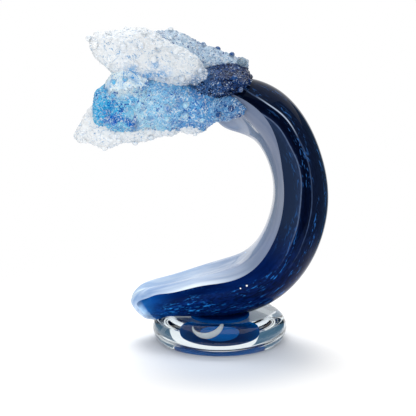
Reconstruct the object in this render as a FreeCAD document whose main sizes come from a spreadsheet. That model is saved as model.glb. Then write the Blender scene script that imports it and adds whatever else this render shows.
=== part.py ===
import FreeCAD, Part
import Sketcher
import math
import os

# Solid glass wave sculpture: a clear foot carries a cobalt ribbon that turns up and bends back into foam.
# Frame: +Z up, the foot's flat ground face on Z = 0, its centre at the origin, the foam reaching to -X.

doc = FreeCAD.newDocument("glass_wave")
sheet = doc.addObject("Spreadsheet::Sheet", "Sizes")
sheet_row = [0]


def size(name, value):
    """Write one named size, in millimetres, and return its value."""
    sheet_row[0] += 1
    sheet.set("A%d" % sheet_row[0], name)
    sheet.set("B%d" % sheet_row[0], str(value))
    sheet.setAlias("B%d" % sheet_row[0], name)
    return value


# Foot
foot_radius = size("foot_radius", 59.0)
foot_height = size("foot_height", 25.6)
foot_edge_radius = size("foot_edge_radius", 14.3)
foot_bevel = size("foot_bevel", 1.0)

# Ribbon
wave_reach = size("wave_reach", 173.0)
wave_height = size("wave_height", 220.0)
wave_width = size("wave_width", 52.0)
wave_depth = size("wave_depth", 38.0)
wave_rim_radius = size("wave_rim_radius", 8.0)
wave_face_rise = size("wave_face_rise", 11.0)
seat_depth = size("seat_depth", 7.5)

# Lump of cobalt glass under the ribbon, inside the foot
root_radius = size("root_radius", 26.0)
root_edge_radius = size("root_edge_radius", 7.0)
root_floor = size("root_floor", 2.0)
root_cover = size("root_cover", 2.0)

# Pale glass on the ribbon's inner face
lining_thickness = size("lining_thickness", 3.0)
lining_nose = size("lining_nose", 5.0)
lining_overrun = size("lining_overrun", 3.0)

# Foam
foam_length = size("foam_length", 160.0)
foam_width = size("foam_width", 60.0)
foam_height = size("foam_height", 120.0)
grain_radius = size("grain_radius", 3.0)
doc.recompute()

# Ribbon stations from the crest to the tongue's tip, as shares of the ribbon's sizes.
# Columns: X, Z, outward angle and roll in degrees, width, rim radius, hollow of the inner face, depth.
station_shares = (
    (-0.0271, 0.9006, 62, 34, 0.904, 0.875, -0.091, 0.560),
    (0.0633, 0.8486, 57, 33, 1.096, 1.000, -0.182, 0.830),
    (0.1508, 0.8092, 44, 28, 1.135, 1.250, -0.545, 0.945),
    (0.2373, 0.7528, 28, 17, 1.058, 1.250, -1.000, 0.915),
    (0.3058, 0.6486, 10, 4, 1.000, 1.000, -1.045, 0.921),
    (0.3273, 0.5513, 0, 0, 1.000, 1.000, -0.955, 0.974),
    (0.3117, 0.4240, -13, 0, 1.000, 1.000, -0.955, 1.026),
    (0.2584, 0.3116, -33, 0, 1.000, 1.125, -1.000, 1.026),
    (0.1731, 0.2285, -55, 1, 1.000, 1.250, -0.955, 1.000),
    (0.0479, 0.1860, -74, 3, 1.000, 1.125, -0.455, 1.000),
    (-0.0998, 0.1618, -80, 0, 1.000, 0.875, -0.136, 0.947),
    (-0.2595, 0.1270, -81, -2, 0.923, 0.875, -0.091, 0.789),
    (-0.3402, 0.1119, -79, -2, 0.827, 0.875, -0.182, 0.684),
    (-0.3908, 0.0980, -72, 0, 0.654, 0.812, -0.318, 0.610),
    (-0.4250, 0.0770, -62, 0, 0.481, 0.688, -0.418, 0.500),
    (-0.4420, 0.0590, -55, 0, 0.269, 0.438, -0.336, 0.289),
)
nose_stations = 3
oval_join_angle = 60

# Stations along each foam lobe, as shares of the foam's sizes.
# Columns: X, Y and Z from the crest end as shares of length, width and height, then the turn of the
# station's upright in degrees, its half width as a share of the width and its half height of the height.
crest_root_shares = (
    (-0.094, 0.000, 0.102, 72, 0.283, 0.073),
    (-0.046, 0.000, 0.102, 70, 0.417, 0.109),
    (0.018, -0.017, 0.100, 66, 0.483, 0.127),
    (0.082, -0.017, 0.103, 62, 0.500, 0.124),
    (0.141, -0.017, 0.096, 58, 0.467, 0.094),
    (0.189, -0.017, 0.107, 55, 0.283, 0.054),
)
front_lobe_shares = (
    (-0.025, -0.367, -0.060, 80, 0.100, 0.040),
    (0.023, -0.417, -0.060, 80, 0.183, 0.080),
    (0.081, -0.433, -0.062, 75, 0.183, 0.084),
    (0.133, -0.433, -0.066, 70, 0.150, 0.058),
    (0.170, -0.417, -0.063, 65, 0.083, 0.025),
)
aqua_heart_shares = (
    (-0.608, -0.333, -0.073, 90, 0.100, 0.036),
    (-0.575, -0.350, -0.086, 90, 0.200, 0.094),
    (-0.528, -0.333, -0.095, 90, 0.250, 0.116),
    (-0.480, -0.350, -0.115, 95, 0.217, 0.102),
    (-0.438, -0.350, -0.147, 100, 0.150, 0.069),
)
pale_spur_shares = (
    (-0.567, -0.217, 0.103, 90, 0.100, 0.029),
    (-0.530, -0.233, 0.119, 88, 0.200, 0.065),
    (-0.471, -0.250, 0.127, 88, 0.233, 0.073),
    (-0.413, -0.250, 0.116, 85, 0.200, 0.062),
    (-0.365, -0.250, 0.113, 85, 0.100, 0.036),
)
blue_mass_shares = (
    (0.061, 0.000, -0.089, 80, 0.283, 0.054),
    (0.008, 0.000, -0.082, 82, 0.450, 0.105),
    (-0.062, -0.017, -0.070, 84, 0.500, 0.153),
    (-0.154, 0.000, -0.060, 86, 0.483, 0.156),
    (-0.250, -0.017, -0.052, 88, 0.550, 0.185),
    (-0.347, 0.017, -0.043, 88, 0.500, 0.203),
    (-0.443, 0.000, -0.035, 90, 0.567, 0.218),
    (-0.535, 0.017, -0.054, 92, 0.517, 0.193),
    (-0.600, 0.000, -0.075, 94, 0.417, 0.149),
    (-0.644, 0.033, -0.088, 95, 0.217, 0.080),
)
back_crest_shares = (
    (0.175, 0.183, 0.211, 68, 0.083, 0.033),
    (0.137, 0.200, 0.210, 68, 0.150, 0.062),
    (0.072, 0.217, 0.216, 68, 0.183, 0.076),
    (-0.014, 0.217, 0.216, 68, 0.250, 0.120),
    (-0.100, 0.217, 0.231, 68, 0.292, 0.142),
    (-0.186, 0.217, 0.259, 70, 0.342, 0.171),
    (-0.272, 0.200, 0.300, 74, 0.350, 0.174),
    (-0.348, 0.217, 0.285, 80, 0.342, 0.167),
    (-0.407, 0.217, 0.256, 86, 0.225, 0.109),
    (-0.434, 0.217, 0.241, 90, 0.117, 0.051),
)
clear_crest_shares = (
    (-0.046, -0.233, 0.147, 68, 0.100, 0.029),
    (-0.088, -0.250, 0.177, 66, 0.183, 0.073),
    (-0.152, -0.233, 0.215, 66, 0.250, 0.120),
    (-0.236, -0.233, 0.246, 66, 0.267, 0.131),
    (-0.321, -0.200, 0.290, 70, 0.317, 0.149),
    (-0.397, -0.083, 0.329, 76, 0.417, 0.167),
    (-0.483, -0.033, 0.326, 84, 0.433, 0.160),
    (-0.562, -0.050, 0.334, 90, 0.400, 0.138),
    (-0.626, -0.033, 0.355, 94, 0.283, 0.094),
    (-0.663, -0.033, 0.372, 96, 0.150, 0.047),
)
clear_skirt_shares = (
    (-0.197, 0.000, -0.227, 84, 0.167, 0.025),
    (-0.251, 0.000, -0.231, 84, 0.283, 0.051),
    (-0.338, 0.017, -0.250, 86, 0.350, 0.069),
    (-0.423, -0.017, -0.255, 88, 0.333, 0.076),
    (-0.510, 0.017, -0.265, 88, 0.400, 0.084),
    (-0.590, -0.017, -0.262, 92, 0.367, 0.120),
    (-0.650, 0.017, -0.221, 96, 0.333, 0.142),
    (-0.704, -0.017, -0.258, 102, 0.233, 0.087),
    (-0.742, 0.000, -0.293, 106, 0.133, 0.047),
    (-0.764, 0.000, -0.303, 108, 0.058, 0.022),
)
under_clump_shares = (
    (-0.191, -0.100, -0.211, 90, 0.067, 0.018),
    (-0.153, -0.117, -0.217, 90, 0.133, 0.040),
    (-0.105, -0.117, -0.224, 90, 0.133, 0.040),
    (-0.057, -0.100, -0.215, 86, 0.083, 0.029),
)


# Separate grains fused on the lobes: lobe, station along it, angle round it in degrees and radius share.
clear_grain_shares = (
    ("clear_crest", 1, 150, 0.80), ("clear_crest", 2, 212, 0.95), ("clear_crest", 3, 128, 0.85),
    ("clear_crest", 3, 238, 0.75), ("clear_crest", 4, 178, 1.05), ("clear_crest", 5, 118, 0.90),
    ("clear_crest", 5, 207, 0.80), ("clear_crest", 6, 162, 1.00), ("clear_crest", 6, 62, 0.90),
    ("clear_crest", 7, 218, 0.85), ("clear_crest", 7, 108, 0.80), ("clear_crest", 8, 165, 1.00),
    ("clear_crest", 9, 100, 1.00), ("clear_crest", 4, 134, 1.10), ("clear_crest", 5, 158, 0.95),
    ("clear_crest", 7, 24, 1.10), ("clear_crest", 8, 62, 0.95), ("clear_crest", 8, 344, 1.05),
    ("clear_crest", 6, 12, 1.00), ("clear_crest", 7, 142, 1.05),
    ("back_crest", 6, 88, 0.80), ("clear_skirt", 2, 200, 0.80),
    ("clear_skirt", 3, 236, 0.90), ("clear_skirt", 4, 196, 0.85), ("clear_skirt", 5, 226, 1.00),
    ("clear_skirt", 6, 188, 0.85), ("clear_skirt", 7, 215, 0.75), ("under_clump", 2, 230, 0.70),
)
aqua_grain_shares = (
    ("blue_mass", 2, 204, 0.85), ("blue_mass", 3, 168, 0.95), ("blue_mass", 4, 202, 0.80),
    ("blue_mass", 5, 156, 0.95), ("blue_mass", 5, 222, 0.75), ("blue_mass", 3, 20, 0.90),
    ("blue_mass", 5, 342, 1.00), ("blue_mass", 7, 12, 0.85), ("blue_mass", 2, 350, 1.00),
    ("blue_mass", 3, 196, 1.05), ("blue_mass", 4, 176, 0.95), ("blue_mass", 4, 8, 1.10),
    ("blue_mass", 4, 330, 0.95), ("blue_mass", 6, 352, 1.05), ("blue_mass", 6, 28, 1.00),
    ("blue_mass", 6, 214, 0.90), ("blue_mass", 7, 336, 1.00), ("blue_mass", 8, 18, 1.05),
    ("aqua_heart", 1, 172, 0.80),
    ("aqua_heart", 2, 206, 1.00), ("aqua_heart", 3, 176, 0.85), ("pale_spur", 2, 158, 0.80),
    ("pale_spur", 1, 168, 0.75),
)
cobalt_grain_shares = (
    ("crest_root", 2, 172, 0.85), ("crest_root", 3, 150, 0.95), ("crest_root", 4, 190, 0.80),
    ("crest_root", 4, 24, 0.80), ("front_lobe", 1, 202, 0.85),
    ("front_lobe", 2, 166, 0.90), ("front_lobe", 3, 208, 0.75), ("back_crest", 2, 96, 0.80),
    ("back_crest", 3, 64, 0.90), ("back_crest", 4, 100, 0.75),
)
bubble_shares = (("back_crest", 1, 150, 1.50),)


def value(expression):
    """Work out an expression of named sizes."""
    return float(sheet.evalExpression(expression))


def share(name, number):
    """Return the expression for a share of one named size."""
    return "Sizes.%s * (%s)" % (name, number)


def bind(item, **expressions):
    """Bind properties of an object, dots written as double underscores, to expressions."""
    for name, expression in expressions.items():
        item.setExpression(name.replace("__", "."), expression)


def new_sketch(body, name, role):
    """Attach an empty sketch to one of the body's own origin planes."""
    sketch = body.newObject("Sketcher::SketchObject", name)
    plane = next(f for f in body.Origin.OriginFeatures if f.Role == role)
    sketch.AttachmentSupport = [(plane, "")]
    sketch.MapMode = "FlatFace"
    return sketch


def hold(sketch, name, expression, *constraint):
    """Add one driving dimension to a sketch and bind it to the sizes."""
    index = sketch.addConstraint(Sketcher.Constraint(*constraint, value(expression)))
    sketch.renameConstraint(index, name)
    sketch.setExpression("Constraints." + name, expression)


def hold_from_origin(sketch, name, kind, expression, item, end):
    """Hold a point at a distance from the sketch's origin along one axis, on either side of it."""
    if value(expression) < 0:
        hold(sketch, name, "-(%s)" % expression, kind, item, end, -1, 1)
    else:
        hold(sketch, name, expression, kind, -1, 1, item, end)


def arc(x, y, radius, start, end):
    """Return a sketch arc that runs counterclockwise between two angles in radians."""
    circle = Part.Circle(FreeCAD.Vector(x, y, 0), FreeCAD.Vector(0, 0, 1), radius)
    return Part.ArcOfCircle(circle, start, end)


def four_arcs(sketch, span, rim, dome, dome_y, over, face, face_y, under):
    """Draw tangent arcs for the upper side, left rim, lower side and right rim; a hollow face is positive."""
    run, rim_size, top, low = value(span), value(rim), value(dome), abs(value(face))
    hollow = value(face) > 0
    left_end, right_end = (2, 1) if hollow else (1, 2)
    sketch.addGeometry(arc(0, value(dome_y), top, over, math.pi - over))
    if hollow:
        sketch.addGeometry(arc(-run, 0, rim_size, math.pi - over, 2 * math.pi - under))
        sketch.addGeometry(arc(0, value(face_y), low, under, math.pi - under))
        sketch.addGeometry(arc(run, 0, rim_size, math.pi + under, 2 * math.pi + over))
    else:
        sketch.addGeometry(arc(-run, 0, rim_size, math.pi - over, math.pi + under))
        sketch.addGeometry(arc(0, value(face_y), low, math.pi + under, 2 * math.pi - under))
        sketch.addGeometry(arc(run, 0, rim_size, 2 * math.pi - under, 2 * math.pi + over))
    sketch.addConstraint(Sketcher.Constraint("Coincident", 0, 2, 1, 1))
    sketch.addConstraint(Sketcher.Constraint("Coincident", 1, 2, 2, left_end))
    sketch.addConstraint(Sketcher.Constraint("Coincident", 2, right_end, 3, 1))
    sketch.addConstraint(Sketcher.Constraint("Coincident", 3, 2, 0, 1))
    sketch.addConstraint(Sketcher.Constraint("Symmetric", 0, 2, 0, 1, -2))
    sketch.addConstraint(Sketcher.Constraint("Symmetric", 2, 1, 2, 2, -2))
    sketch.addConstraint(Sketcher.Constraint("Equal", 1, 3))
    hold(sketch, "dome", dome, "Radius", 0)
    hold(sketch, "face", "abs(%s)" % face, "Radius", 2)
    hold(sketch, "rim", rim, "Radius", 3)


def crescent(sketch, half, rim, inner, depth):
    """Draw a ribbon section: a domed outer side, round rims and an inner side that is domed or hollow."""
    span = "(%s - %s)" % (half, rim)
    dome = "((%s ^ 2 + %s ^ 2 - %s ^ 2) / (2 * (%s - %s)))" % (span, depth, rim, depth, rim)
    face = "((%s ^ 2 + %s ^ 2 - %s ^ 2) / (2 * (%s + %s)))" % (span, inner, rim, inner, rim)
    dome_y = "(%s - %s)" % (depth, dome)
    face_y = "(%s - %s)" % (inner, face)
    over = math.atan2(-value(dome_y), value(span))
    under = math.atan2(value(face_y), value(span)) if value(face) < 0 else math.atan2(-value(face_y), value(span))
    four_arcs(sketch, span, rim, dome, dome_y, over, face, face_y, under)
    right_end = 2 if value(face) < 0 else 1
    hold_from_origin(sketch, "over_x", "DistanceX", "%s * %s / (%s - %s)" % (span, dome, dome, rim), 0, 1)
    hold_from_origin(sketch, "over_y", "DistanceY", "-%s * %s / (%s - %s)" % (dome_y, rim, dome, rim), 0, 1)
    hold_from_origin(sketch, "under_x", "DistanceX", "%s * %s / (%s + %s)" % (span, face, face, rim), 2, right_end)
    hold_from_origin(sketch, "under_y", "DistanceY", "%s * %s / (%s + %s)" % (face_y, rim, face, rim), 2, right_end)


def oval(sketch, half, rise):
    """Draw an oval of four arcs that meet where their shared normal stands at the join angle."""
    join = math.radians(oval_join_angle)
    across, upright = math.cos(join), math.sin(join)
    step = "((%s - %s) / %.6f)" % (half, rise, across + upright - 1)
    rim = "(%s - %s * %.6f)" % (half, step, across)
    dome = "(%s + %s * %.6f)" % (rise, step, upright)
    four_arcs(sketch, "(%s - %s)" % (half, rim), rim, dome, "(%s - %s)" % (rise, dome), join,
              "-%s" % dome, "(%s - %s)" % (dome, rise), join)
    join_x = "%s * %.6f" % (dome, across)
    join_y = "%s - %s * %.6f" % (rise, dome, 1 - upright)
    hold_from_origin(sketch, "over_x", "DistanceX", join_x, 0, 1)
    hold_from_origin(sketch, "over_y", "DistanceY", join_y, 0, 1)
    hold_from_origin(sketch, "under_x", "DistanceX", join_x, 2, 2)
    hold_from_origin(sketch, "under_y", "DistanceY", "-(%s)" % join_y, 2, 2)


def stand(sketch, x, y, z, turn, roll):
    """Stand a sketch at a place, its upright turned and rolled in degrees."""
    angle = math.radians(turn)
    outward = FreeCAD.Vector(math.cos(angle), 0, math.sin(angle))
    forward = FreeCAD.Vector(math.sin(angle), 0, -math.cos(angle))
    rotation = FreeCAD.Rotation(FreeCAD.Vector(0, 1, 0), outward, forward, "ZXY")
    rotation = FreeCAD.Rotation(forward, -roll) * rotation
    place = FreeCAD.Vector(value(x), value(y), value(z))
    sketch.AttachmentOffset = FreeCAD.Placement(place, rotation)
    bind(sketch, AttachmentOffset__Base__x=x, AttachmentOffset__Base__y=y, AttachmentOffset__Base__z=z)


def loft(body, sketches):
    """Loft a body through its own sections."""
    doc.recompute()
    skin = body.newObject("PartDesign::AdditiveLoft", body.Name + "_loft")
    skin.Profile = sketches[0]
    skin.Sections = sketches[1:]
    for sketch in sketches:
        sketch.Visibility = False
    return body


def turned(body, sketch):
    """Turn a profile about its upright axis."""
    skin = body.newObject("PartDesign::Revolution", body.Name + "_turn")
    skin.Profile = sketch
    skin.ReferenceAxis = (sketch, ["V_Axis"])
    skin.Angle = 360
    sketch.Visibility = False
    return body


def station(body, name, shares, grow, thicken, shift):
    """Draw one ribbon section, grown and moved along the ribbon by expressions of named sizes."""
    along, up, turn, roll, wide, rim, hollow, deep = shares
    sketch = new_sketch(body, name, "XY_Plane")
    angle = math.radians(turn)
    x = "%s + (%s) * %.6f" % (share("wave_reach", along), shift, math.sin(angle))
    z = "Sizes.foot_height - Sizes.seat_depth + %s - (%s) * %.6f" % (
        share("wave_height", up), shift, math.cos(angle))
    stand(sketch, x, "0", z, turn, roll)
    half = "(%s / 2 + %s)" % (share("wave_width", wide), grow)
    rim_size = "(%s)" % share("wave_rim_radius", rim) if grow == "0" else "(%s / 3)" % grow
    crescent(sketch, half, rim_size, "(%s + %s)" % (share("wave_face_rise", hollow), thicken),
             "(%s + %s)" % (share("wave_depth", deep), grow))
    return sketch


def ribbon(name, sections):
    """Loft a body through ribbon sections."""
    body = doc.addObject("PartDesign::Body", name)
    return loft(body, [station(body, "%s_section_%02d" % (name, i), *s) for i, s in enumerate(sections)])


def joined(name, items):
    """Fuse several solids."""
    item = doc.addObject("Part::MultiFuse", name)
    item.Shapes = items
    item.Refine = False
    return item


def cut(name, base, tool):
    """Cut one solid to the shape of what it is fused on."""
    item = doc.addObject("Part::Cut", name)
    item.Base = base
    item.Tool = tool
    item.Refine = False
    return item


def lobe_place(shares):
    """Return the expressions for the middle of one lobe station."""
    x = "%s + %s" % (share("wave_reach", station_shares[0][0]), share("foam_length", shares[0]))
    y = share("foam_width", shares[1])
    z = "Sizes.foot_height - Sizes.seat_depth + %s + %s" % (
        share("wave_height", station_shares[0][1]), share("foam_height", shares[2]))
    return x, y, z


def lobe(name, table):
    """Loft one foam lobe through oval stations placed from the ribbon's crest end."""
    body = doc.addObject("PartDesign::Body", name + "_blank")
    sketches = []
    for i, shares in enumerate(table):
        sketch = new_sketch(body, "%s_section_%02d" % (name, i), "XY_Plane")
        stand(sketch, *lobe_place(shares), shares[3], 0)
        oval(sketch, "(%s)" % share("foam_width", shares[4]), "(%s)" % share("foam_height", shares[5]))
        sketches.append(sketch)
    return loft(body, sketches)


def grains(name, table, bed):
    """Set balls into the surface of the foam lobes and cut them to what they are fused on."""
    balls = []
    for i, (host, index, angle, radius) in enumerate(table):
        shares = lobe_tables[host][index]
        x, y, z = lobe_place(shares)
        across, upright = math.cos(math.radians(angle)), math.sin(math.radians(angle))
        lean, rise = math.cos(math.radians(shares[3])), math.sin(math.radians(shares[3]))
        item = doc.addObject("Part::Sphere", "%s_ball_%02d" % (name, i))
        bind(item, Radius=share("grain_radius", radius),
             Placement__Base__x="%s + %s * %.6f" % (x, share("foam_height", shares[5]), upright * lean),
             Placement__Base__y="%s + %s * %.6f" % (y, share("foam_width", shares[4]), across),
             Placement__Base__z="%s + %s * %.6f" % (z, share("foam_height", shares[5]), upright * rise))
        balls.append(item)
    return cut(name, joined(name + "_balls", balls) if len(balls) > 1 else balls[0], bed)


parts = {}

# Ribbon blank, and the blank that parts its cobalt core from the pale glass on the inner face
ribbon_blank = ribbon("ribbon_blank", [(s, "0", "0", "0") for s in station_shares])
core_sections = [(station_shares[0], "Sizes.lining_overrun", "Sizes.lining_thickness", "-Sizes.lining_overrun")]
for s in station_shares[1:-nose_stations]:
    core_sections.append((s, "Sizes.lining_overrun", "Sizes.lining_thickness", "0"))
for s in station_shares[-nose_stations:]:
    s = s[:4] + (station_shares[-nose_stations - 1][4],) + s[5:]
    core_sections.append((s, "Sizes.lining_overrun", "Sizes.lining_thickness", "-Sizes.lining_nose"))
core_blank = ribbon("core_blank", core_sections)
parts["wave_core"] = doc.addObject("Part::Common", "wave_core")
parts["wave_core"].Base = ribbon_blank
parts["wave_core"].Tool = core_blank
parts["opal_lining"] = cut("opal_lining", ribbon_blank, core_blank)

# Root: a round-edged lump that joins the ribbon's underside, for the foot's clear glass to close over
root_body = doc.addObject("PartDesign::Body", "root_blank")
root_sketch = new_sketch(root_body, "root_profile", "XZ_Plane")
root_x = root_radius - root_edge_radius
root_top = foot_height - root_cover
low_centre = root_floor + root_edge_radius
high_centre = root_top - root_edge_radius
corners = ((0, root_floor), (root_x, root_floor), (root_radius, low_centre), (root_radius, high_centre),
           (root_x, root_top), (0, root_top))
points = [FreeCAD.Vector(*p, 0) for p in corners]
root_sketch.addGeometry(Part.LineSegment(points[0], points[1]))
root_sketch.addGeometry(arc(root_x, low_centre, root_edge_radius, -math.pi / 2, 0))
root_sketch.addGeometry(Part.LineSegment(points[2], points[3]))
root_sketch.addGeometry(arc(root_x, high_centre, root_edge_radius, 0, math.pi / 2))
root_sketch.addGeometry(Part.LineSegment(points[4], points[5]))
root_sketch.addGeometry(Part.LineSegment(points[5], points[0]))
for i in range(6):
    kind = "Tangent" if i < 4 else "Coincident"
    root_sketch.addConstraint(Sketcher.Constraint(kind, i, 2, (i + 1) % 6, 1))
root_sketch.addConstraint(Sketcher.Constraint("Horizontal", 0))
root_sketch.addConstraint(Sketcher.Constraint("Vertical", 2))
root_sketch.addConstraint(Sketcher.Constraint("Horizontal", 4))
root_sketch.addConstraint(Sketcher.Constraint("Vertical", 5))
root_sketch.addConstraint(Sketcher.Constraint("PointOnObject", 0, 1, -2))
root_sketch.addConstraint(Sketcher.Constraint("Equal", 1, 3))
hold(root_sketch, "edge_radius", "Sizes.root_edge_radius", "Radius", 1)
hold(root_sketch, "radius", "Sizes.root_radius", "DistanceX", -1, 1, 2, 1)
hold(root_sketch, "floor", "Sizes.root_floor", "DistanceY", -1, 1, 0, 1)
hold(root_sketch, "top", "Sizes.foot_height - Sizes.root_cover", "DistanceY", -1, 1, 4, 2)
parts["cobalt_root"] = cut("cobalt_root", turned(root_body, root_sketch), ribbon_blank)

# Foot: a puck with a round side and a bevelled ground edge, cut to the ribbon's underside and the root
foot_body = doc.addObject("PartDesign::Body", "foot_blank")
foot_sketch = new_sketch(foot_body, "foot_profile", "XZ_Plane")
centre_x = foot_radius - foot_edge_radius
centre_y = foot_height - foot_edge_radius
low_angle = -math.asin((centre_y - foot_bevel) / foot_edge_radius)
low_x = centre_x + foot_edge_radius * math.cos(low_angle)
points = [FreeCAD.Vector(*p, 0) for p in ((0, 0), (low_x - foot_bevel, 0), (low_x, foot_bevel),
                                         (centre_x, foot_height), (0, foot_height))]
foot_sketch.addGeometry(Part.LineSegment(points[0], points[1]))
foot_sketch.addGeometry(Part.LineSegment(points[1], points[2]))
foot_sketch.addGeometry(arc(centre_x, centre_y, foot_edge_radius, low_angle, math.pi / 2))
foot_sketch.addGeometry(Part.LineSegment(points[3], points[4]))
foot_sketch.addGeometry(Part.LineSegment(points[4], points[0]))
foot_sketch.addConstraint(Sketcher.Constraint("Coincident", 0, 1, -1, 1))
foot_sketch.addConstraint(Sketcher.Constraint("Horizontal", 0))
foot_sketch.addConstraint(Sketcher.Constraint("Coincident", 0, 2, 1, 1))
foot_sketch.addConstraint(Sketcher.Constraint("Coincident", 1, 2, 2, 1))
foot_sketch.addConstraint(Sketcher.Constraint("Tangent", 2, 2, 3, 1))
foot_sketch.addConstraint(Sketcher.Constraint("Horizontal", 3))
foot_sketch.addConstraint(Sketcher.Constraint("Coincident", 3, 2, 4, 1))
foot_sketch.addConstraint(Sketcher.Constraint("Coincident", 4, 2, 0, 1))
foot_sketch.addConstraint(Sketcher.Constraint("Vertical", 4))
hold(foot_sketch, "edge_radius", "Sizes.foot_edge_radius", "Radius", 2)
hold(foot_sketch, "edge_centre", "Sizes.foot_radius - Sizes.foot_edge_radius", "DistanceX", -1, 1, 2, 3)
hold(foot_sketch, "height", "Sizes.foot_height", "DistanceY", -1, 1, 3, 2)
hold(foot_sketch, "bevel_across", "Sizes.foot_bevel", "DistanceX", 0, 2, 1, 2)
hold(foot_sketch, "bevel_up", "Sizes.foot_bevel", "DistanceY", 0, 2, 1, 2)
parts["clear_foot"] = cut("clear_foot", turned(foot_body, foot_sketch),
                          joined("foot_seat", [ribbon_blank, root_body]))

# Foam lobes, in the order in which each is laid against those before it
lobe_tables = {
    "crest_root": crest_root_shares,
    "front_lobe": front_lobe_shares,
    "aqua_heart": aqua_heart_shares,
    "pale_spur": pale_spur_shares,
    "blue_mass": blue_mass_shares,
    "back_crest": back_crest_shares,
    "clear_crest": clear_crest_shares,
    "clear_skirt": clear_skirt_shares,
    "under_clump": under_clump_shares,
}
laid = [ribbon_blank]
for name, table in lobe_tables.items():
    blank = lobe(name, table)
    parts[name] = cut(name, blank, laid[0] if len(laid) == 1 else joined(name + "_bed", list(laid)))
    laid.append(blank)

# Separate grains, and the large bead at the right end of the back crest
foam_bed = joined("foam_bed", list(laid))
parts["frit_clear"] = grains("frit_clear", clear_grain_shares, foam_bed)
parts["frit_aqua"] = grains("frit_aqua", aqua_grain_shares, foam_bed)
parts["frit_cobalt"] = grains("frit_cobalt", cobalt_grain_shares, foam_bed)
parts["crest_bubble"] = grains("crest_bubble", bubble_shares, foam_bed)

doc.recompute()
failed = [o.Name for o in doc.Objects if "Invalid" in o.State or "Error" in o.State]
if failed:
    raise RuntimeError("not computed: " + ", ".join(failed))
os.makedirs("parts", exist_ok=True)
for name, item in parts.items():
    item.Label = name
    shape = item.Shape
    if shape.isNull() or not shape.isValid() or not shape.Solids:
        raise RuntimeError("not a solid: " + name)
for name, item in parts.items():
    item.Shape.exportStep("parts/%s.step" % name)
    print("%-14s solids %d, volume %.0f mm3" % (name, len(item.Shape.Solids), item.Shape.Volume))
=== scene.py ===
import math

import bmesh
import bpy
import numpy as np
from mathutils import Matrix, Vector


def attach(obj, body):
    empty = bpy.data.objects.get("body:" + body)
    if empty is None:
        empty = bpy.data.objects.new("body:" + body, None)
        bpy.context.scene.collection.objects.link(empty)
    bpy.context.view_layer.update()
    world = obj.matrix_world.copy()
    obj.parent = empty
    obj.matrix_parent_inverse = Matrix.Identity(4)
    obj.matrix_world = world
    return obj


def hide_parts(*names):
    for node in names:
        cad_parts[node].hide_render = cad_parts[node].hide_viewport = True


# Solid glass wave sculpture: a clear foot, a cobalt ribbon with a milky inner face, and a crest of foam.
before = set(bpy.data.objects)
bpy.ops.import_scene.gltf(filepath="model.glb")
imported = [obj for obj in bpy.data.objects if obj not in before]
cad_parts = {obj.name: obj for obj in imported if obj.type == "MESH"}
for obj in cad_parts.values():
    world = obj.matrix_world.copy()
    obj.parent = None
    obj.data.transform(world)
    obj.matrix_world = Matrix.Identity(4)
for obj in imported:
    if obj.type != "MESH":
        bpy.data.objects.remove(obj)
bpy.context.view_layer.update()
scene = bpy.context.scene

# Camera
# A long lens a little above the sculpture, level with the middle of the open hollow.
AIM = Vector((-0.01035, 0.0, 0.1179))
CAMERA_DISTANCE = 1.4
CAMERA_RISE = math.radians(12.5)
CAMERA_NEAR = 0.05
CAMERA_FAR = 30.0
LENS = 138.96
SENSOR_WIDTH = 36.0

camera = bpy.data.objects.new("camera", bpy.data.cameras.new("camera"))
scene.collection.objects.link(camera)
camera.data.lens = LENS
camera.data.sensor_width = SENSOR_WIDTH
camera.data.clip_start = CAMERA_NEAR
camera.data.clip_end = CAMERA_FAR
towards_camera = Vector((0.0, -math.cos(CAMERA_RISE), math.sin(CAMERA_RISE)))
camera.location = AIM + CAMERA_DISTANCE * towards_camera
camera.rotation_euler = (AIM - camera.location).to_track_quat("-Z", "Y").to_euler()
scene.camera = camera
scene.view_settings.view_transform = "Standard"

# Studio
# A white surround that glass mirrors and shows through, a pale floor that fades into it, and soft lamps.
# The floor carries a painted shadow, a bluer oval patch under the foot. Dark blue cards stand out of sight,
# for glass to mirror.
AMBIENT = 0.88
WHITE = (1.0, 1.0, 1.0, 1.0)
FLOOR_RADIUS = 0.75
FLOOR_DROP = 0.0002
FLOOR_SEGMENTS = 96
FLOOR_COLOUR = (0.97, 0.97, 0.97, 1.0)
SHADOW_COLOUR = (0.69, 0.74, 0.82, 1.0)
SHADOW_PLACE = (0.002, -0.05, 0.0)
SHADOW_SIZE = (0.105, 0.12, 1.0)
SHADOW_FADE = (0.3, 1.0)
FLOOR_FADE = (1.2, 3.0)
LAMP_TARGET = (0.0, 0.0, 0.12)


def add_node(tree, kind, inputs=(), **settings):
    """Add a node with its settings, and give its inputs values or link them to sockets."""
    item = tree.nodes.new(kind)
    for name, value in settings.items():
        setattr(item, name, value)
    for name, value in dict(inputs).items():
        if isinstance(value, bpy.types.NodeSocket):
            tree.links.new(value, item.inputs[name])
        else:
            item.inputs[name].default_value = value
    return item


def new_material(name):
    """Make a material with an empty tree and return both."""
    material = bpy.data.materials.new(name)
    material.use_nodes = True
    material.node_tree.nodes.clear()
    return material, material.node_tree


def surface(tree, shader):
    """Link a shader to the material's surface."""
    add_node(tree, "ShaderNodeOutputMaterial", {"Surface": shader.outputs[0]})


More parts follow.
